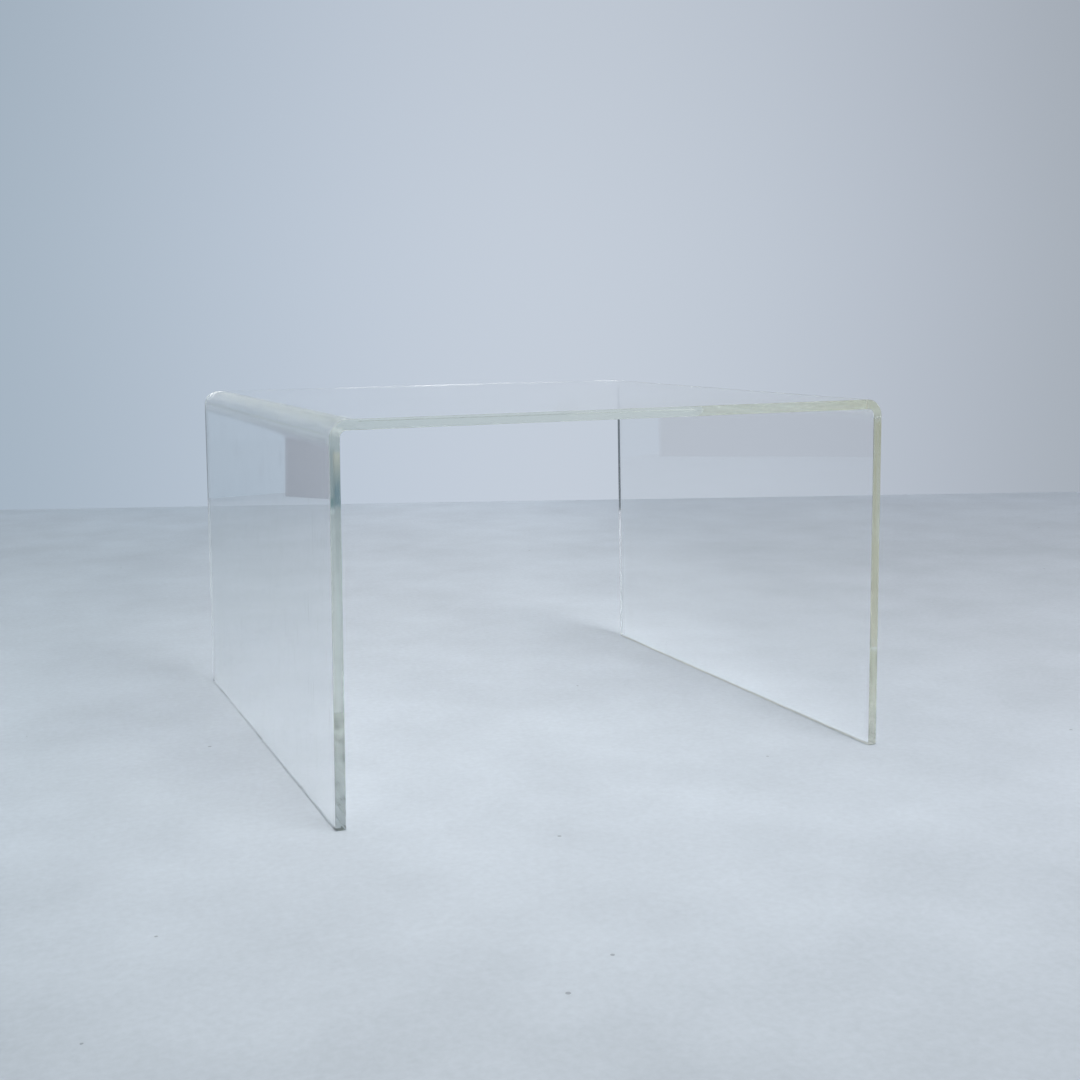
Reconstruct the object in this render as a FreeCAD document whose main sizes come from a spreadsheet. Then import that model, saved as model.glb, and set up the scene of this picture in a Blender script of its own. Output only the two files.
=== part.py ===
import FreeCAD, Part
import math
import os
import Sketcher

# Waterfall coffee table: one sheet of clear cast acrylic, line-bent twice into a top and two legs.
# Frame: millimetres, +Z up, X across the opening from leg to leg, Y along the bends.
# Origin: on the floor, under the middle of the top.

doc = FreeCAD.newDocument("waterfall_coffee_table")

# Driving sizes, in millimetres and degrees.
DRIVING_SIZES = {
    "table_height": 450.0,       # floor to the top face
    "top_width": 712.0,          # between the corners where the legs' outer faces would meet the top face
    "table_depth": 704.0,        # front edge to back edge, along the bends
    "sheet_thickness": 12.0,     # sheet as cast
    "inner_bend_radius": 8.0,    # under the top, where the hot sheet was squeezed
    "outer_bend_radius": 22.0,   # over the top, where it was stretched and so grew thinner
    "leg_splay": 0.9,            # degrees that each leg leans outwards, because a bend springs back
    "edge_arris": 0.6,           # bevel scraped along the polished front and back edges
}

sheet = doc.addObject("Spreadsheet::Sheet", "Sizes")
for row, (alias, value) in enumerate(DRIVING_SIZES.items(), start=1):
    sheet.set("A%d" % row, alias)
    sheet.set("B%d" % row, str(value))
    sheet.setAlias("B%d" % row, alias)
doc.recompute()


# Where the profile's corners and arcs lie, worked out so that the sketch starts at its solution.
# The profile is drawn in X and Z. Points are on the left half, and mirrored() gives the right half.
half_width = sheet.top_width / 2
splay = math.radians(sheet.leg_splay)
down_leg = FreeCAD.Vector(-math.sin(splay), -math.cos(splay), 0)
into_sheet = FreeCAD.Vector(math.cos(splay), -math.sin(splay), 0)


def mirrored(point):
    return FreeCAD.Vector(-point.x, point.y, 0)


def slide_to_height(point, height):
    """Move a point along the leg until it is at this height."""
    return point + down_leg * ((point.y - height) / math.cos(splay))


def bend_tangents(corner, radius):
    """The ends of the arc that rounds this corner, on the leg and on the top, and its centre."""
    setback = radius * math.tan((math.pi / 2 - splay) / 2)
    on_leg = corner + down_leg * setback
    on_top = corner + FreeCAD.Vector(setback, 0, 0)
    centre = on_top - FreeCAD.Vector(0, radius, 0)
    return on_leg, on_top, centre


def left_bend(centre, radius):
    circle = Part.Circle(centre, FreeCAD.Vector(0, 0, 1), radius)
    return Part.ArcOfCircle(circle, math.pi / 2, math.pi - splay)


def right_bend(centre, radius):
    circle = Part.Circle(mirrored(centre), FreeCAD.Vector(0, 0, 1), radius)
    return Part.ArcOfCircle(circle, splay, math.pi / 2)


outer_corner = FreeCAD.Vector(-half_width, sheet.table_height, 0)
inner_corner = slide_to_height(
    outer_corner + into_sheet * sheet.sheet_thickness,
    sheet.table_height - sheet.sheet_thickness,
)
outer_foot = slide_to_height(outer_corner, 0)
inner_foot = slide_to_height(inner_corner, 0)
outer_on_leg, outer_on_top, outer_centre = bend_tangents(outer_corner, sheet.outer_bend_radius)
inner_on_leg, inner_on_top, inner_centre = bend_tangents(inner_corner, sheet.inner_bend_radius)


# The sheet is one body: its bent profile, extruded along the bends.
def origin_plane(owner, role):
    for feature in owner.Origin.OriginFeatures:
        if feature.Role == role:
            return feature
    raise RuntimeError("no origin plane " + role)


body = doc.addObject("PartDesign::Body", "AcrylicSheet")
body.Label = "acrylic_sheet"
profile = body.newObject("Sketcher::SketchObject", "BentProfile")
profile.AttachmentSupport = [(origin_plane(body, "XZ_Plane"), "")]
profile.MapMode = "FlatFace"

# Every line runs clockwise round the profile as seen from the front, and every arc the other way.
LEFT_LEG_OUTER = profile.addGeometry(Part.LineSegment(outer_foot, outer_on_leg))
LEFT_OUTER_BEND = profile.addGeometry(left_bend(outer_centre, sheet.outer_bend_radius))
TOP_FACE = profile.addGeometry(Part.LineSegment(outer_on_top, mirrored(outer_on_top)))
RIGHT_OUTER_BEND = profile.addGeometry(right_bend(outer_centre, sheet.outer_bend_radius))
RIGHT_LEG_OUTER = profile.addGeometry(Part.LineSegment(mirrored(outer_on_leg), mirrored(outer_foot)))
RIGHT_FOOT = profile.addGeometry(Part.LineSegment(mirrored(outer_foot), mirrored(inner_foot)))
RIGHT_LEG_INNER = profile.addGeometry(Part.LineSegment(mirrored(inner_foot), mirrored(inner_on_leg)))
RIGHT_INNER_BEND = profile.addGeometry(right_bend(inner_centre, sheet.inner_bend_radius))
UNDERSIDE = profile.addGeometry(Part.LineSegment(mirrored(inner_on_top), inner_on_top))
LEFT_INNER_BEND = profile.addGeometry(left_bend(inner_centre, sheet.inner_bend_radius))
LEFT_LEG_INNER = profile.addGeometry(Part.LineSegment(inner_on_leg, inner_foot))
LEFT_FOOT = profile.addGeometry(Part.LineSegment(inner_foot, outer_foot))
CORNER_MARK = profile.addGeometry(Part.Point(outer_corner), True)

# The sketcher's own numbers for a curve's ends, and for the sketch's origin and axes.
START = 1
END = 2
ORIGIN_POINT = (-1, 1)
FLOOR_LINE = -1
CENTRE_LINE = -2


def constrain(kind, *references):
    return profile.addConstraint(Sketcher.Constraint(kind, *references))


def drive(name, expression, kind, *references):
    """Add a dimension to the profile and bind it to the sheet."""
    index = constrain(kind, *references)
    profile.renameConstraint(index, name)
    profile.setExpression("Constraints." + name, expression)


# Each bend runs smoothly into the flat sheet on both sides.
constrain("Tangent", LEFT_LEG_OUTER, END, LEFT_OUTER_BEND, END)
constrain("Tangent", LEFT_OUTER_BEND, START, TOP_FACE, START)
constrain("Tangent", TOP_FACE, END, RIGHT_OUTER_BEND, END)
constrain("Tangent", RIGHT_OUTER_BEND, START, RIGHT_LEG_OUTER, START)
constrain("Tangent", RIGHT_LEG_INNER, END, RIGHT_INNER_BEND, START)
constrain("Tangent", RIGHT_INNER_BEND, END, UNDERSIDE, START)
constrain("Tangent", UNDERSIDE, END, LEFT_INNER_BEND, START)
constrain("Tangent", LEFT_INNER_BEND, END, LEFT_LEG_INNER, START)

# The feet are cut level, flat on the floor.
constrain("Coincident", RIGHT_LEG_OUTER, END, RIGHT_FOOT, START)
constrain("Coincident", RIGHT_FOOT, END, RIGHT_LEG_INNER, START)
constrain("Coincident", LEFT_LEG_INNER, END, LEFT_FOOT, START)
constrain("Coincident", LEFT_FOOT, END, LEFT_LEG_OUTER, START)
constrain("PointOnObject", LEFT_FOOT, START, FLOOR_LINE)
constrain("PointOnObject", LEFT_FOOT, END, FLOOR_LINE)

# The two halves match, and each leg's faces are parallel.
constrain("Symmetric", TOP_FACE, START, TOP_FACE, END, CENTRE_LINE)
constrain("Symmetric", LEFT_FOOT, END, RIGHT_FOOT, START, CENTRE_LINE)
constrain("Symmetric", LEFT_FOOT, START, RIGHT_FOOT, END, CENTRE_LINE)
constrain("Equal", LEFT_OUTER_BEND, RIGHT_OUTER_BEND)
constrain("Equal", LEFT_INNER_BEND, RIGHT_INNER_BEND)
constrain("Parallel", LEFT_LEG_OUTER, LEFT_LEG_INNER)
constrain("Parallel", RIGHT_LEG_OUTER, RIGHT_LEG_INNER)
constrain("Horizontal", UNDERSIDE)

# The corner mark is where the left leg's outer face and the top face would meet.
constrain("PointOnObject", CORNER_MARK, START, LEFT_LEG_OUTER)
constrain("PointOnObject", CORNER_MARK, START, TOP_FACE)

foot_spread = outer_corner.x - outer_foot.x
drive("height", "Sizes.table_height",
      "DistanceY", *ORIGIN_POINT, TOP_FACE, START, sheet.table_height)
drive("half_width", "Sizes.top_width / 2",
      "DistanceX", CORNER_MARK, START, *ORIGIN_POINT, half_width)
drive("foot_spread", "Sizes.table_height * tan(Sizes.leg_splay * 1 deg)",
      "DistanceX", LEFT_FOOT, END, CORNER_MARK, START, foot_spread)
drive("top_thickness", "Sizes.sheet_thickness",
      "DistanceY", UNDERSIDE, END, TOP_FACE, START, sheet.sheet_thickness)
drive("leg_thickness", "Sizes.sheet_thickness",
      "Distance", LEFT_LEG_INNER, START, LEFT_LEG_OUTER, sheet.sheet_thickness)
drive("outer_radius", "Sizes.outer_bend_radius",
      "Radius", LEFT_OUTER_BEND, sheet.outer_bend_radius)
drive("inner_radius", "Sizes.inner_bend_radius",
      "Radius", LEFT_INNER_BEND, sheet.inner_bend_radius)
doc.recompute()

bent_sheet = body.newObject("PartDesign::Pad", "BentSheet")
bent_sheet.Profile = profile
bent_sheet.SideType = "Symmetric"
bent_sheet.setExpression("Length", "Sizes.table_depth")
doc.recompute()


# The front and back edges are polished, and an arris is scraped all round each of them.
def faces_square_to_depth(shape):
    names = []
    for index, face in enumerate(shape.Faces, start=1):
        if abs(face.normalAt(0, 0).y) > 0.999:
            names.append("Face%d" % index)
    return names


arris = body.newObject("PartDesign::Chamfer", "EdgeArris")
arris.Base = (bent_sheet, faces_square_to_depth(bent_sheet.Shape))
arris.setExpression("Size", "Sizes.edge_arris")
body.Tip = arris
doc.recompute()


# Check the whole document, then write the sheet out.
if profile.solve() != 0 or not profile.FullyConstrained:
    raise RuntimeError("the bent profile is not fully constrained")
for item in doc.Objects:
    if "Invalid" in item.State or "Error" in item.State:
        raise RuntimeError(item.Name + " failed to build")

if body.Shape.isNull() or not body.Shape.isValid() or len(body.Shape.Solids) != 1:
    raise RuntimeError("the sheet is not one valid solid")
if not 0 < body.Shape.Volume < bent_sheet.Shape.Volume:
    raise RuntimeError("the arris took nothing off the sheet")

os.makedirs("parts", exist_ok=True)
body.Shape.exportStep(os.path.join("parts", body.Label + ".step"))
print("acrylic_sheet: %.0f mm3, %s" % (body.Shape.Volume, body.Shape.BoundBox))
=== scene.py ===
from functools import partial
import math

import bpy
from mathutils import Matrix, Vector


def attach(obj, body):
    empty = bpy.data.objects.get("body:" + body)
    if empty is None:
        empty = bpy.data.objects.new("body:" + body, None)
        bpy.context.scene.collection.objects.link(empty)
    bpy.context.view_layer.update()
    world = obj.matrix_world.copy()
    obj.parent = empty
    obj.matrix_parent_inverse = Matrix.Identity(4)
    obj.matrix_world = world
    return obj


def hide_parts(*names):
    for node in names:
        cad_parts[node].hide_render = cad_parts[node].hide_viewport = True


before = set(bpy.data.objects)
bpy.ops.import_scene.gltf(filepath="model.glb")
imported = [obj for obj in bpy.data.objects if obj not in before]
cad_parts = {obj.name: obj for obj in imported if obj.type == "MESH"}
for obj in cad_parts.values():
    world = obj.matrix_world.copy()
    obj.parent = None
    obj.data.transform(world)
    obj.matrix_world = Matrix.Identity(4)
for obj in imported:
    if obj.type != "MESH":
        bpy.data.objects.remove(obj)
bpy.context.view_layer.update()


# The table: one sheet of clear cast acrylic, cut to size with its front and back edges polished.
# A strip heater softened it along two lines, and it was folded over a jig at each of them, which
# squeezed the inside of each bend and stretched the outside. Both feet are left as sawn.
TABLE_HEIGHT = 0.450
TABLE_WIDTH = 0.712          # between the corners where the legs' outer faces would meet the top face
TABLE_DEPTH = 0.704
SHEET_THICKNESS = 0.012
OUTER_BEND_RADIUS = 0.022
INNER_BEND_RADIUS = 0.008
LEG_SPLAY = math.radians(0.9)
EDGE_ARRIS = 0.0006
BEND_STEPS = 48
CRISP_ANGLE = math.radians(30)


def linear(hex_colour):
    """An sRGB hex colour as linear red, green and blue, with an alpha of 1."""
    channels = [int(hex_colour[i:i + 2], 16) / 255 for i in (1, 3, 5)]
    return (*[c / 12.92 if c <= 0.04045 else ((c + 0.055) / 1.055) ** 2.4 for c in channels], 1.0)


def add(tree, kind, inputs=(), **settings):
    """Add a node with its settings. An input takes a value, an output, or a node's first output."""
    node = tree.nodes.new(kind)
    for name, value in settings.items():
        setattr(node, name, value)
    for name, value in dict(inputs).items():
        if isinstance(value, bpy.types.Node):
            value = value.outputs[0]
        if isinstance(value, bpy.types.NodeSocket):
            tree.links.new(value, node.inputs[name])
        else:
            node.inputs[name].default_value = value
    return node


sheet_rule = bpy.data.node_groups.new("bent acrylic sheet", "GeometryNodeTree")
sheet_rule.interface.new_socket("Sheet", in_out="INPUT", socket_type="NodeSocketGeometry")
for name in ("Width", "Height", "Depth", "Thickness", "Outer radius", "Inner radius", "Splay", "Arris"):
    sheet_rule.interface.new_socket(name, in_out="INPUT", socket_type="NodeSocketFloat")
sheet_rule.interface.new_socket("Bend steps", in_out="INPUT", socket_type="NodeSocketInt")
sheet_rule.interface.new_socket("Material", in_out="INPUT", socket_type="NodeSocketMaterial")
sheet_rule.interface.new_socket("Sheet", in_out="OUTPUT", socket_type="NodeSocketGeometry")
size = add(sheet_rule, "NodeGroupInput").outputs
rule = partial(add, sheet_rule)
maths = "ShaderNodeMath"

# The outline, seen from the front, has eight corners. Corners 0 to 3 go over the outside from the
# left foot to the right one, and corners 4 to 7 come back along the inside. The first and last of
# each four are at the feet and the middle two at the bends. Corners 2 to 5 are on the right.
corner = rule("GeometryNodeInputIndex")
in_four = rule(maths, {0: corner, 1: 4.0}, operation="MODULO")
past_bends = rule(maths, {0: in_four, 1: 1.5}, operation="SUBTRACT")
from_bends = rule(maths, {0: past_bends}, operation="ABSOLUTE")
is_foot = rule(maths, {0: from_bends, 1: 1.0}, operation="GREATER_THAN")
past_right = rule(maths, {0: corner, 1: 3.5}, operation="SUBTRACT")
from_right = rule(maths, {0: past_right}, operation="ABSOLUTE")
is_right = rule(maths, {0: from_right, 1: 2.0}, operation="LESS_THAN")
side = rule(maths, {0: is_right, 1: 2.0, 2: -1.0}, operation="MULTIPLY_ADD")
is_inner = rule(maths, {0: corner, 1: 3.5}, operation="GREATER_THAN")
inset = rule(maths, {0: is_inner, 1: size["Thickness"]}, operation="MULTIPLY")
bend_height = rule(maths, {0: size["Height"], 1: inset}, operation="SUBTRACT")
is_bend = rule(maths, {0: 1.0, 1: is_foot}, operation="SUBTRACT")
corner_height = rule(maths, {0: bend_height, 1: is_bend}, operation="MULTIPLY")
fall = rule(maths, {0: size["Height"], 1: corner_height}, operation="SUBTRACT")
slope = rule(maths, {0: size["Splay"]}, operation="TANGENT")
half_width = rule(maths, {0: size["Width"], 1: 0.5}, operation="MULTIPLY")
outer_reach = rule(maths, {0: fall, 1: slope, 2: half_width}, operation="MULTIPLY_ADD")
inwards = rule(maths, {
    0: inset, 1: rule(maths, {0: size["Splay"]}, operation="COSINE")}, operation="DIVIDE")
reach = rule(maths, {0: outer_reach, 1: inwards}, operation="SUBTRACT")
corner_x = rule(maths, {0: side, 1: reach}, operation="MULTIPLY")
corner_place = rule("ShaderNodeCombineXYZ", {"X": corner_x, "Z": corner_height})
more_radius = rule(maths, {0: size["Inner radius"], 1: size["Outer radius"]}, operation="SUBTRACT")
bend_radius = rule(maths, {
    0: is_inner, 1: more_radius, 2: size["Outer radius"]}, operation="MULTIPLY_ADD")
corner_radius = rule(maths, {0: bend_radius, 1: is_bend}, operation="MULTIPLY")
ring = rule("GeometryNodeCurvePrimitiveCircle", {"Resolution": 8}, mode="RADIUS")
corners = rule("GeometryNodeSetPosition", {"Geometry": ring, "Position": corner_place})
outline = rule("GeometryNodeFilletCurve", {
    "Curve": corners, "Count": size["Bend steps"], "Radius": corner_radius}, mode="POLY")

# The end faces' outline is smaller all round by the arris, and more so at the feet's square corners.
position = rule("GeometryNodeInputPosition")
across = rule("ShaderNodeVectorMath", {
    0: (0.0, 1.0, 0.0), 1: rule("GeometryNodeInputTangent")}, operation="CROSS_PRODUCT")
height = rule("ShaderNodeSeparateXYZ", {0: position}).outputs["Z"]
is_foot_corner = rule(maths, {0: height, 1: 1e-5}, operation="LESS_THAN")
square_corner = rule(maths, {0: is_foot_corner, 1: math.sqrt(2) - 1, 2: 1.0}, operation="MULTIPLY_ADD")
arris_inset = rule(maths, {0: square_corner, 1: size["Arris"]}, operation="MULTIPLY")
inset_step = rule("ShaderNodeVectorMath", {0: across, "Scale": arris_inset}, operation="SCALE")
end_outline = rule("GeometryNodeSetPosition", {"Geometry": outline, "Offset": inset_step})

# A strip of quads goes once round the outline. Its four rows are the rims of the two end faces and
# the two lines where an arris meets the faces of the sheet.
counted = rule("GeometryNodeAttributeDomainSize", {"Geometry": outline}, component="CURVE")
point_count = counted.outputs["Point Count"]
columns = rule(maths, {0: point_count, 1: 1.0}, operation="ADD")
grid = rule("GeometryNodeMeshGrid", {"Vertices X": columns, "Vertices Y": 4})
index = rule("GeometryNodeInputIndex")
column = rule(maths, {0: rule(maths, {0: index, 1: 4.0}, operation="DIVIDE")}, operation="FLOOR")
point = rule(maths, {0: column, 1: point_count}, operation="MODULO")
row = rule(maths, {0: index, 1: 4.0}, operation="MODULO")
from_middle = rule(maths, {0: row, 1: 1.5}, operation="SUBTRACT")
is_rim = rule(maths, {
    0: rule(maths, {0: from_middle}, operation="ABSOLUTE"), 1: 1.0}, operation="GREATER_THAN")
on_outline, on_end_outline = [
    rule("GeometryNodeSampleIndex", {"Geometry": curve, "Value": position, "Index": point},
         data_type="FLOAT_VECTOR", domain="POINT")
    for curve in (outline, end_outline)
]
in_profile = rule("GeometryNodeSwitch", {
    "Switch": is_rim, "False": on_outline, "True": on_end_outline}, input_type="VECTOR")
half_depth = rule(maths, {0: size["Depth"], 1: 0.5}, operation="MULTIPLY")
short_of_end = rule(maths, {0: half_depth, 1: size["Arris"]}, operation="SUBTRACT")
row_depth = rule("GeometryNodeSwitch", {
    "Switch": is_rim, "False": short_of_end, "True": half_depth}, input_type="FLOAT")
way = rule(maths, {0: from_middle}, operation="SIGN")
row_y = rule(maths, {0: way, 1: row_depth}, operation="MULTIPLY")
row_place = rule("ShaderNodeCombineXYZ", {"Y": row_y})
strip_place = rule("ShaderNodeVectorMath", {0: in_profile, 1: row_place}, operation="ADD")
strip = rule("GeometryNodeSetPosition", {"Geometry": grid, "Position": strip_place})

# Each rim is filled with an end face. A curve is filled lying down, so it is laid down and put back.
lying = rule("GeometryNodeTransform", {"Geometry": end_outline, "Rotation": (-math.pi / 2, 0.0, 0.0)})
filled = rule("GeometryNodeFillCurve", {"Curve": lying}, mode="TRIANGLES")
front_y = rule(maths, {0: half_depth, 1: -1.0}, operation="MULTIPLY")
front_end, back_end = [
    rule("GeometryNodeTransform", {
        "Geometry": filled, "Rotation": (math.pi / 2, 0.0, 0.0),
        "Translation": rule("ShaderNodeCombineXYZ", {"Y": end_y})})
    for end_y in (front_y, half_depth)
]
parts = rule("GeometryNodeJoinGeometry")
for part in (strip, front_end, rule("GeometryNodeFlipFaces", {"Mesh": back_end})):
    sheet_rule.links.new(part.outputs[0], parts.inputs[0])
closed = rule("GeometryNodeMergeByDistance", {"Geometry": parts, "Distance": 1e-6})

# The bends are shaded smooth and the flat sheet flat, with crisp lines at the arrises and the feet.
where = rule("ShaderNodeSeparateXYZ", {0: position}).outputs
bend_zone = rule(maths, {0: size["Outer radius"], 1: 1e-4}, operation="ADD")
beside = rule(maths, {
    0: rule(maths, {0: where["X"]}, operation="ABSOLUTE"),
    1: rule(maths, {0: half_width, 1: bend_zone}, operation="SUBTRACT")}, operation="GREATER_THAN")
above = rule(maths, {
    0: where["Z"],
    1: rule(maths, {0: size["Height"], 1: bend_zone}, operation="SUBTRACT")}, operation="GREATER_THAN")
in_bend = rule(maths, {0: beside, 1: above}, operation="MULTIPLY")
smooth = rule("GeometryNodeSetShadeSmooth", {"Geometry": closed, "Shade Smooth": in_bend}, domain="FACE")
edge_turn = rule("GeometryNodeInputMeshEdgeAngle").outputs["Unsigned Angle"]
is_crisp = rule(maths, {0: edge_turn, 1: CRISP_ANGLE}, operation="GREATER_THAN")
crisp = rule("GeometryNodeSetShadeSmooth", {
    "Geometry": smooth, "Selection": is_crisp, "Shade Smooth": False}, domain="EDGE")
whole = rule("GeometryNodeRealizeInstances", {0: crisp})
finished = rule("GeometryNodeSetMaterial", {"Geometry": whole, "Material": size["Material"]})
rule("NodeGroupOutput", {"Sheet": finished})


# Clear cast acrylic. The faces keep the mirror gloss of the glass plates it was cast between. It
# looks colourless across 12 mm, and yellow-green along 700 mm, which is how its edges are seen.
# A sawn foot scatters light, so through the polished edge it shows as a grey band.
REFRACTIVE_INDEX = 1.49
PASSED_BY_A_METRE = (0.875, 0.915, 0.80, 1.0)     # shares of red, green and blue light
CLEAR = linear("#ffffff")
acrylic = bpy.data.materials.new("clear cast acrylic with polished edges and sawn feet")
acrylic.use_nodes = True
acrylic.node_tree.nodes.clear()
paint = partial(add, acrylic.node_tree)
here = paint("ShaderNodeTexCoord").outputs["Object"]
axis = paint("ShaderNodeSeparateXYZ", {0: here}).outputs
out_from_middle = paint(maths, {0: axis["X"]}, operation="ABSOLUTE")

# Hairlines from years of wiping run two ways over the faces. Real ones are finer than these, which
# are drawn 0.7 mm wide because finer ones would not show. The scale of a noise, here and below, is
# how many of its features go into a metre.
HAIRLINE_SCALE = (16.0, 620.0, 16.0)
hairlines = []
for turn, seed in ((22.0, 0.0), (-58.0, 7.0)):
    run = paint("ShaderNodeMapping", {
        "Vector": here, "Location": (seed, seed, seed),
        "Rotation": (math.radians(turn / 2), 0.0, math.radians(turn)), "Scale": HAIRLINE_SCALE})
    streaks = paint("ShaderNodeTexNoise", {"Vector": run, "Scale": 1.0, "Detail": 1.0, "Roughness": 0.4})
    hairlines.append(paint("ShaderNodeMapRange", {0: streaks, 1: 0.73, 2: 0.83}))
scratched = paint(maths, {0: hairlines[0], 1: hairlines[1]}, operation="MAXIMUM")
# A smear of handling and dust, in soft patches as wide as a hand.
smears = paint("ShaderNodeTexNoise", {"Vector": here, "Scale": 5.0, "Detail": 5.0, "Roughness": 0.7})
smeared = paint("ShaderNodeMapRange", {0: smears, 1: 0.45, 2: 0.75})
# The sheet is cast, so its faces are not quite flat: they swell by about a hundredth of a millimetre.
swell = paint("ShaderNodeTexNoise", {"Vector": here, "Scale": 9.0, "Detail": 1.0, "Roughness": 0.4})

# The heat took the gloss off the bends, and off a narrow strip of the flat sheet beside each.
# Scraping and buffing left the polished edges a little softer than the faces too.
HEATED_STRIP = 0.012
BEND_SIDE = TABLE_WIDTH / 2 - OUTER_BEND_RADIUS
BEND_FOOT = TABLE_HEIGHT - OUTER_BEND_RADIUS
out_along = paint("ShaderNodeMapRange", {
    0: out_from_middle, 1: BEND_SIDE - HEATED_STRIP, 2: BEND_SIDE}, interpolation_type="SMOOTHSTEP")
up_along = paint("ShaderNodeMapRange", {
    0: axis["Z"], 1: BEND_FOOT - HEATED_STRIP, 2: BEND_FOOT}, interpolation_type="SMOOTHSTEP")
bent = paint(maths, {0: out_along, 1: up_along}, operation="MULTIPLY")
along_depth = paint(maths, {0: axis["Y"]}, operation="ABSOLUTE")
from_end = paint(maths, {0: TABLE_DEPTH / 2, 1: along_depth}, operation="SUBTRACT")
is_end = paint(maths, {0: from_end, 1: EDGE_ARRIS + 0.00002}, operation="LESS_THAN")

# The feet: saw lines about 3 mm apart, bowed as a circular blade leaves them. Each foot is greyer at
# one end, and the left one has spots of dirt, inside its sides, from the floors it has stood on.
FOOT_MIDDLE = TABLE_WIDTH / 2 + TABLE_HEIGHT * math.tan(LEG_SPLAY) - SHEET_THICKNESS / 2
DIRT = linear("#3c464e")
sawn = paint(maths, {0: axis["Z"], 1: 0.0002}, operation="LESS_THAN")
saw_lines = paint("ShaderNodeTexWave", {
    "Vector": here, "Scale": 95.0, "Distortion": 2.5, "Detail": 2.0, "Detail Scale": 1.5},
    bands_direction="Y")
squeezed = paint("ShaderNodeMapping", {
    "Vector": here, "Location": (0.04, 0.88, 0.0), "Scale": (5.0, 1.0, 1.0)})
dirt = paint("ShaderNodeTexNoise", {"Vector": squeezed, "Scale": 18.0, "Detail": 2.0, "Roughness": 0.5})
spotted = paint("ShaderNodeMapRange", {0: dirt, 1: 0.52, 2: 0.575})
off_middle = paint(maths, {0: out_from_middle, 1: FOOT_MIDDLE}, operation="SUBTRACT")
inside_foot = paint("ShaderNodeMapRange", {
    0: paint(maths, {0: off_middle}, operation="ABSOLUTE"), 1: 0.0058, 2: 0.0040})
is_left_leg = paint(maths, {0: axis["X"], 1: 0.0}, operation="LESS_THAN")
dirty = paint(maths, {0: spotted, 1: inside_foot}, operation="MULTIPLY")
dirty = paint(maths, {0: dirty, 1: is_left_leg}, operation="MULTIPLY")
along_foot = paint("ShaderNodeMapRange", {0: axis["Y"], 1: -TABLE_DEPTH / 2, 2: TABLE_DEPTH / 2})
right_foot, left_foot = [
    paint("ShaderNodeMix", {
        "Factor": along_foot, 6: linear(front), 7: linear(back)}, data_type="RGBA").outputs[2]
    for front, back in (("#d8dbdb", "#bcc0be"), ("#b4bfce", "#d4dce8"))
]
clean_foot = paint("ShaderNodeMix", {
    "Factor": is_left_leg, 6: right_foot, 7: left_foot}, data_type="RGBA").outputs[2]
foot_colour = paint("ShaderNodeMix", {
    "Factor": dirty, 6: clean_foot, 7: DIRT}, data_type="RGBA").outputs[2]
base = paint("ShaderNodeMix", {"Factor": sawn, 6: CLEAR, 7: foot_colour}, data_type="RGBA").outputs[2]
clearness = paint(maths, {0: sawn, 1: -0.8, 2: 1.0}, operation="MULTIPLY_ADD")

# What each kind of wear and finish adds to the roughness of the cast face.
roughness = 0.008
for worn, dullness in ((smeared, 0.012), (scratched, 0.05), (bent, 0.22), (is_end, 0.04), (sawn, 0.5)):
    roughness = paint(maths, {0: worn, 1: dullness, 2: roughness}, operation="MULTIPLY_ADD")

# The relief, in millimetres. The faces swell and are scratched, the ends are buffed flat, and the
# feet have their saw lines.
MILLIMETRE = 0.001
swell_relief = paint(maths, {0: swell, 1: 0.018}, operation="MULTIPLY")
face_relief = paint(maths, {0: scratched, 1: -0.02, 2: swell_relief}, operation="MULTIPLY_ADD")
on_faces = paint(maths, {0: 1.0, 1: is_end}, operation="SUBTRACT")
face_relief = paint(maths, {0: face_relief, 1: on_faces}, operation="MULTIPLY")
saw_relief = paint(maths, {0: saw_lines, 1: sawn}, operation="MULTIPLY")
relief = paint(maths, {0: saw_relief, 1: 0.35, 2: face_relief}, operation="MULTIPLY_ADD")
bump = paint("ShaderNodeBump", {"Height": relief, "Strength": 1.0, "Distance": MILLIMETRE})
surface = paint("ShaderNodeBsdfPrincipled", {
    "Base Color": base, "Roughness": roughness, "IOR": REFRACTIVE_INDEX,
    "Transmission Weight": clearness, "Normal": bump})
depth_tint = paint("ShaderNodeVolumeAbsorption", {"Color": PASSED_BY_A_METRE, "Density": 1.0})
paint("ShaderNodeOutputMaterial", {"Surface": surface, "Volume": depth_tint})

blank = bpy.data.objects.new("blank", bpy.data.meshes.new("blank"))
bpy.context.scene.collection.objects.link(blank)
shaping = blank.modifiers.new("shape", "NODES")
shaping.node_group = sheet_rule
sheet_inputs = {
    "Width": TABLE_WIDTH, "Height": TABLE_HEIGHT, "Depth": TABLE_DEPTH, "Thickness": SHEET_THICKNESS,
    "Outer radius": OUTER_BEND_RADIUS, "Inner radius": INNER_BEND_RADIUS, "Splay": LEG_SPLAY,
    "Arris": EDGE_ARRIS, "Bend steps": BEND_STEPS, "Material": acrylic,
}
for socket in sheet_rule.interface.items_tree:
    if socket.in_out == "INPUT" and socket.name in sheet_inputs:
        shaping[socket.identifier] = sheet_inputs[socket.name]
depsgraph = bpy.context.evaluated_depsgraph_get()
sheet_mesh = bpy.data.meshes.new_from_object(blank.evaluated_get(depsgraph), depsgraph=depsgraph)
sheet_mesh.name = "bent_acrylic_sheet"
sheet_mesh.materials.pop(index=0)
bpy.data.objects.remove(blank)
table = bpy.data.objects.new("bent_acrylic_sheet", sheet_mesh)
bpy.context.scene.collection.objects.link(table)
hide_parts("acrylic_sheet")
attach(table, "root")


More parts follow.
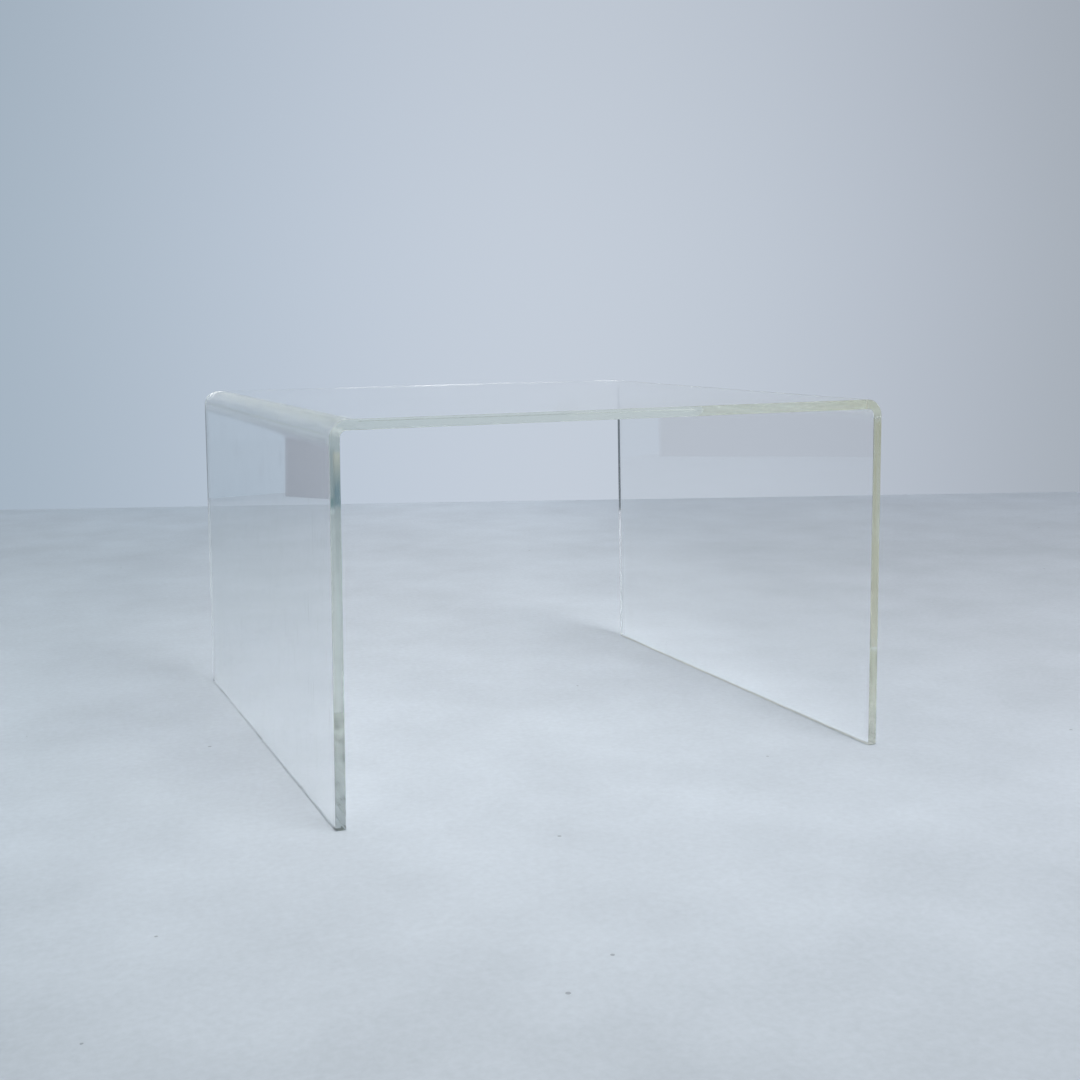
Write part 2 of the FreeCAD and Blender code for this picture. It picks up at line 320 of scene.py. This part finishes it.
# The studio's floor, which is not part of the table: pale paint, rolled on, with a pool of light and
# shade painted into its colour.
# It runs back to a wall behind the table, which stands a little nearer on the right.
WALL_FOOT = Vector((-0.273, 2.565, 0.0))
WALL_LINE = Vector((0.9374, -0.3482, 0.0))
FLOOR_FRONT = [(-8, -8, 0), (8, -8, 0)]
FLOOR_GAP = 0.0004           # the feet stand this far above the paint, so that the two do not clash
OVAL_MIDDLE = (0.453, 1.430, 0.0)
OVAL_TURN = (0.0, 0.0, -0.344)
OVAL_REACH = (0.743, 3.907, 1.0)
TOWARDS_CAMERA = (-0.405, -0.914, 0.0)
TOWARDS_WALL = (0.3482, 0.9374, 0.0)
wall_left = WALL_FOOT - 6.0 * WALL_LINE
wall_right = WALL_FOOT + 8.0 * WALL_LINE


def stage_panel(name, material, corners):
    """One flat panel of the studio, which is left out of the part."""
    mesh = bpy.data.meshes.new(name)
    mesh.from_pydata(corners, [], [tuple(range(len(corners)))])
    mesh.materials.append(material)
    panel = bpy.data.objects.new(name, mesh)
    bpy.context.scene.collection.objects.link(panel)
    return panel


floor_paint = bpy.data.materials.new("floor paint with painted light")
floor_paint.use_nodes = True
floor_paint.node_tree.nodes.clear()
paint = partial(add, floor_paint.node_tree)
here = paint("ShaderNodeTexCoord").outputs["Object"]
# A pool of light is painted into the floor's colour: palest in a long oval that runs from the table
# to the wall, and darkening evenly outwards.
from_oval = paint("ShaderNodeMapping", {
    "Vector": here, "Location": OVAL_MIDDLE, "Rotation": OVAL_TURN, "Scale": OVAL_REACH},
    vector_type="TEXTURE")
pool_distance = paint("ShaderNodeVectorMath", {0: from_oval}, operation="LENGTH").outputs["Value"]
pool_falloff = paint("ShaderNodeMapRange", {0: pool_distance, 1: 0.18, 2: 1.0}, interpolation_type="SMOOTHSTEP")
right_of_oval = paint("ShaderNodeMapRange", {
    0: paint("ShaderNodeSeparateXYZ", {0: from_oval}), 1: -1.2, 2: 1.2})
pool_edge_paint = paint("ShaderNodeMix", {
    "Factor": right_of_oval, 6: linear("#b9c4cd"), 7: linear("#b5bcc4")}, data_type="RGBA").outputs[2]
even_paint = paint("ShaderNodeMix", {
    "Factor": pool_falloff, 6: linear("#c7cfd7"), 7: pool_edge_paint}, data_type="RGBA").outputs[2]
# Painted shade darkens the floor towards the camera.
to_camera = paint("ShaderNodeVectorMath", {0: here, 1: TOWARDS_CAMERA}, operation="DOT_PRODUCT")
painted_shade_near_camera = paint("ShaderNodeMapRange", {
    0: to_camera.outputs["Value"], 1: 0.35, 2: 1.1, 3: 1.0, 4: 0.86}, interpolation_type="SMOOTHSTEP")
# Painted light brightens the floor beside the wall, against the shade that falls there.
to_wall = paint("ShaderNodeVectorMath", {0: here, 1: TOWARDS_WALL}, operation="DOT_PRODUCT")
painted_light_by_wall = paint("ShaderNodeMapRange", {
    0: to_wall.outputs["Value"], 1: 1.3, 2: 2.31, 3: 1.0, 4: 1.18})
# Blotches, the grain that a roller leaves, and dark specks of grit.
blotches = paint("ShaderNodeTexNoise", {"Vector": here, "Scale": 4.5, "Detail": 6.0, "Roughness": 0.62})
grain = paint("ShaderNodeTexNoise", {"Vector": here, "Scale": 120.0, "Detail": 3.0, "Roughness": 0.6})
blotch_shade = paint("ShaderNodeMapRange", {0: blotches, 1: 0.3, 2: 0.7, 3: 0.93, 4: 1.055})
grain_shade = paint("ShaderNodeMapRange", {0: grain, 1: 0.25, 2: 0.75, 3: 0.95, 4: 1.04})
grit = paint("ShaderNodeTexVoronoi", {"Vector": here, "Scale": 14.0, "Randomness": 1.0}, feature="F1")
grit_size = paint("ShaderNodeSeparateColor", {0: grit.outputs["Color"]}).outputs["Red"]
grit_reach = paint(maths, {0: grit_size, 1: 0.045, 2: -0.010}, operation="MULTIPLY_ADD")
is_grit = paint(maths, {0: grit.outputs["Distance"], 1: grit_reach}, operation="LESS_THAN")
grit_shade = paint(maths, {0: is_grit, 1: -0.35, 2: 1.0}, operation="MULTIPLY_ADD")
shade = blotch_shade
for layer in (grain_shade, painted_shade_near_camera, painted_light_by_wall, grit_shade):
    shade = paint(maths, {0: shade, 1: layer}, operation="MULTIPLY")
floor_colour = paint("ShaderNodeVectorMath", {0: even_paint, "Scale": shade}, operation="SCALE")
paint("ShaderNodeOutputMaterial", {0: paint("ShaderNodeBsdfDiffuse", {"Color": floor_colour})})
floor = stage_panel("floor", floor_paint, [*FLOOR_FRONT, wall_right, wall_left])
floor.location.z = -FLOOR_GAP


# The studio's wall, in pale matt grey-blue paint. To the camera and in reflections it glows with painted
# light, brightest behind the middle of the table and falling off to both sides and a little towards the
# top.
WALL_HEIGHT = Vector((0.0, 0.0, 3.5))
WALL_FROM, WALL_TO = -1.6, 2.8
WALL_COLOURS = (
    (-1.6, "#9aabbb"), (-0.5, "#a5b4c2"), (0.25, "#bbc7d6"), (0.93, "#c7d0dc"),
    (1.6, "#bfc8d4"), (2.15, "#b3bbc7"), (2.7, "#a3abb4"),
)


def seen_directly(paint):
    """1 for what the camera sees, straight or by way of clear acrylic, and 0 for light on the floor."""
    path = paint("ShaderNodeLightPath").outputs
    seen = paint(maths, {0: path["Is Camera Ray"], 1: path["Is Glossy Ray"]}, operation="MAXIMUM")
    seen = paint(maths, {0: seen, 1: path["Is Transmission Ray"]}, operation="MAXIMUM")
    before_floor = paint(maths, {0: path["Diffuse Depth"], 1: 0.5}, operation="LESS_THAN")
    return paint(maths, {0: seen, 1: before_floor}, operation="MULTIPLY")


wall_paint = bpy.data.materials.new("wall paint")
wall_paint.use_nodes = True
wall_paint.node_tree.nodes.clear()
paint = partial(add, wall_paint.node_tree)
place = paint("ShaderNodeSeparateXYZ", {0: paint("ShaderNodeTexCoord").outputs["Object"]}).outputs
wall_shade = paint("ShaderNodeValToRGB", {
    0: paint("ShaderNodeMapRange", {0: place["X"], 1: WALL_FROM, 2: WALL_TO})})
ramp = wall_shade.color_ramp
ramp.interpolation = "B_SPLINE"
ramp.elements.remove(ramp.elements[1])
ramp.elements[0].color = linear(WALL_COLOURS[0][1])
for x, wall_colour in WALL_COLOURS[1:]:
    ramp.elements.new((x - WALL_FROM) / (WALL_TO - WALL_FROM)).color = linear(wall_colour)
dimmer_above = paint("ShaderNodeMapRange", {
    0: place["Z"], 1: 0.6, 2: 1.8, 3: 1.0, 4: 0.93}, interpolation_type="SMOOTHSTEP")
glow = paint("ShaderNodeEmission", {"Color": wall_shade, "Strength": dimmer_above})
plain = paint("ShaderNodeBsdfDiffuse", {"Color": linear("#c3ccd8")})
paint("ShaderNodeOutputMaterial", {
    0: paint("ShaderNodeMixShader", {0: seen_directly(paint), 1: plain, 2: glow})})
stage_panel("wall", wall_paint, [
    wall_left, wall_right, wall_right + WALL_HEIGHT, wall_left + WALL_HEIGHT])


# Cards which stand round the table outside the camera's view, as they do round clear things in a studio.
# They glow in their own colours and show only in what the table reflects, on its faces or inside its
# edges, so they paint its dark and light lines as reflections. They cast no light and no shadow.
IN_ALL_REFLECTIONS = (0.5, 99.0)
IN_FIRST_REFLECTION = (0.5, 1.5)
IN_BACK_EDGE = (1.5, 4.5)
IN_EDGES = (1.5, 99.0)
CEILING = ("#d4dde6", "#d4dde6")
GREY = ("#625e64", "#625e64")
WINDOW = ("#ffffff", "#ffffff")
PALE = ("#c3cbd0", "#c3cbd0")
CREAM = ("#b3b6b1", "#a8aa9c")


def card(name, colours, left, right, heights, reflections, strength=1.0, lean=(0.0, 0.0)):
    """A card over the line between two places, with a colour for its foot and one for its top.

    It shows only to light whose number of reflections lies between the two that are given.
    """
    material = bpy.data.materials.new(name)
    material.use_nodes = True
    material.node_tree.nodes.clear()
    paint = partial(add, material.node_tree)
    path = paint("ShaderNodeLightPath").outputs
    enough = paint(maths, {0: path["Glossy Depth"], 1: reflections[0]}, operation="GREATER_THAN")
    few_enough = paint(maths, {0: path["Glossy Depth"], 1: reflections[1]}, operation="LESS_THAN")
    off_floor = paint(maths, {0: path["Diffuse Depth"], 1: 0.5}, operation="GREATER_THAN")
    is_shown = paint(maths, {0: enough, 1: few_enough}, operation="MULTIPLY")
    is_shown = paint(maths, {0: is_shown, 1: off_floor}, operation="GREATER_THAN")
    here = paint("ShaderNodeTexCoord").outputs["Object"]
    level = paint("ShaderNodeSeparateXYZ", {0: here}).outputs["Z"]
    up = paint("ShaderNodeMapRange", {0: level, 1: heights[0], 2: heights[1]})
    colour = paint("ShaderNodeMix", {
        "Factor": up, 6: linear(colours[0]), 7: linear(colours[1])}, data_type="RGBA").outputs[2]
    hidden = paint("ShaderNodeBsdfTransparent")
    shown = paint("ShaderNodeEmission", {"Color": colour, "Strength": strength})
    paint("ShaderNodeOutputMaterial", {
        0: paint("ShaderNodeMixShader", {0: is_shown, 1: hidden, 2: shown})})
    top_left, top_right = [(place[0] + lean[0], place[1] + lean[1]) for place in (left, right)]
    panel = stage_panel(name, material, [
        (*left, heights[0]), (*right, heights[0]), (*top_right, heights[1]), (*top_left, heights[1])])
    panel.visible_camera = False
    panel.visible_diffuse = False
    panel.visible_shadow = False


# The ceiling is a card that leans back until it is almost level.
card("ceiling_card", CEILING, (-2.4, -2.2), (3.0, -2.2), (2.90, 2.92), IN_ALL_REFLECTIONS,
     lean=(0.0, 5.2))
# A low grey board behind on the left, and two dark flags in front.
card("grey_card", GREY, (-3.2, 0.72), (-1.055, 2.754), (0.0, 0.26), IN_FIRST_REFLECTION)
card("black_flag", ("#575f66", "#666f78"), (0.55, -1.51), (2.2, -0.25), (0.0, 0.5), IN_ALL_REFLECTIONS)
card("dim_flag", ("#6c757c", "#8a949c"), (-0.30, -2.16), (0.55, -1.51), (0.0, 0.5), IN_ALL_REFLECTIONS)
# A window far in front, glowing cards with a brighter pane and a strip beside it. They paint the
# highlight along the top's back edge.
card("window_card", WINDOW, (0.85, -3.2), (1.90, -3.2), (0.6, 2.4), IN_BACK_EDGE, strength=4.2)
card("bright_window_card", WINDOW, (1.14, -3.15), (1.54, -3.15), (0.6, 2.4), IN_BACK_EDGE, strength=8.5)
card("window_bar", WINDOW, (2.06, -3.2), (2.17, -3.2), (0.6, 2.4), IN_BACK_EDGE, strength=4.2)
# Far behind the table, the teal and slate that show in the left leg's front edge.
card("teal_card_foot", ("#708898", "#6b8596"), (-1.15, 2.30), (-0.50, 2.30), (0.048, 0.095), IN_EDGES)
card("teal_card", ("#6b8596", "#b7bcbb"), (-1.15, 2.30), (-0.50, 2.30), (0.095, 0.205), IN_EDGES)
card("slate_card_foot", ("#688691", "#617f89"), (0.0, 2.30), (0.34, 2.20), (0.033, 0.06), IN_EDGES)
card("slate_card", ("#8b9ba6", "#919fab"), (0.0, 2.30), (0.34, 2.20), (0.06, 0.215), IN_EDGES)
# Close behind the right leg, the pale grey and cream that show in its front edge and in the top's.
card("pale_card", PALE, (0.305, 0.42), (0.388, 0.42), (0.17, 0.42), IN_EDGES)
card("cream_card_low", ("#b3b6b1", "#bdc2ba"), (0.304, 0.42), (0.388, 0.42), (0.0, 0.17), IN_EDGES)
card("cream_card_left", CREAM, (0.26, 0.42), (0.304, 0.42), (0.0, 0.40), IN_EDGES)
card("cream_card", CREAM, (0.365, 0.372), (1.30, 0.40), (0.0, 0.40), IN_EDGES)


# Light: a pale sky all round, a wide softbox overhead, a key softbox above the front right and a weak
# one on the left. The weak one is kept out of mirror images, where it would cover the top in white.
SKY = linear("#ffffff")
BACKDROP = linear("#b4becb")
world = bpy.data.worlds.new("studio")
bpy.context.scene.world = world
world.use_nodes = True
world.node_tree.nodes.clear()
paint = partial(add, world.node_tree)
light = paint("ShaderNodeBackground", {"Color": SKY, "Strength": 0.35})
backdrop = paint("ShaderNodeBackground", {"Color": BACKDROP, "Strength": 1.0})
paint("ShaderNodeOutputWorld", {
    0: paint("ShaderNodeMixShader", {0: seen_directly(paint), 1: light, 2: backdrop})})


def softbox(name, place, width, energy):
    """A square lamp that faces the floor under the table and is out of the camera's sight."""
    lamp = bpy.data.lights.new(name, "AREA")
    lamp.shape = "SQUARE"
    lamp.size = width
    lamp.energy = energy
    made = bpy.data.objects.new(name, lamp)
    bpy.context.scene.collection.objects.link(made)
    made.location = place
    made.rotation_euler = (Vector((0, 0, 0)) - made.location).to_track_quat("-Z", "Y").to_euler()
    made.visible_camera = False
    return made


softbox("overhead softbox", (0.3, 0.5, 3.0), 4.4, 50.0)
softbox("key softbox", (0.95, -1.95, 2.5), 1.46, 60.0)
side_softbox = softbox("side softbox", (-1.9, 0.1, 1.3), 1.2, 8.5)
side_softbox.visible_glossy = False

# Light that enters an edge is reflected dozens of times before it leaves the sheet, so it is followed
# that far, and its reflections are kept sharp. On its way it also passes cards that are hidden to it.
MOST_REFLECTIONS = 128
MOST_HIDDEN_CARDS = 64
scene = bpy.context.scene
scene.view_settings.view_transform = "Standard"
scene.cycles.blur_glossy = 0.0
scene.cycles.max_bounces = MOST_REFLECTIONS
scene.cycles.glossy_bounces = MOST_REFLECTIONS
scene.cycles.transmission_bounces = MOST_REFLECTIONS
scene.cycles.transparent_max_bounces = MOST_HIDDEN_CARDS


# The camera stands at a stooping person's eye height, in front of the left leg, and looks a little
# down and across to the right.
CAMERA_PLACE = (-0.73397, -1.74733, 0.54927)
CAMERA_TURN, CAMERA_TILT, CAMERA_ROLL = -23.914, -9.082, -0.504     # degrees
camera_data = bpy.data.cameras.new("camera")
camera_data.sensor_width = 36.0
camera_data.lens = 45.477
camera_data.clip_start = 0.05
camera_data.clip_end = 60.0
camera = bpy.data.objects.new("camera", camera_data)
bpy.context.scene.collection.objects.link(camera)
camera.matrix_world = (
    Matrix.Translation(CAMERA_PLACE)
    @ Matrix.Rotation(math.radians(CAMERA_TURN), 4, "Z")
    @ Matrix.Rotation(math.radians(90 + CAMERA_TILT), 4, "X")
    @ Matrix.Rotation(math.radians(CAMERA_ROLL), 4, "Z")
)
bpy.context.scene.camera = camera
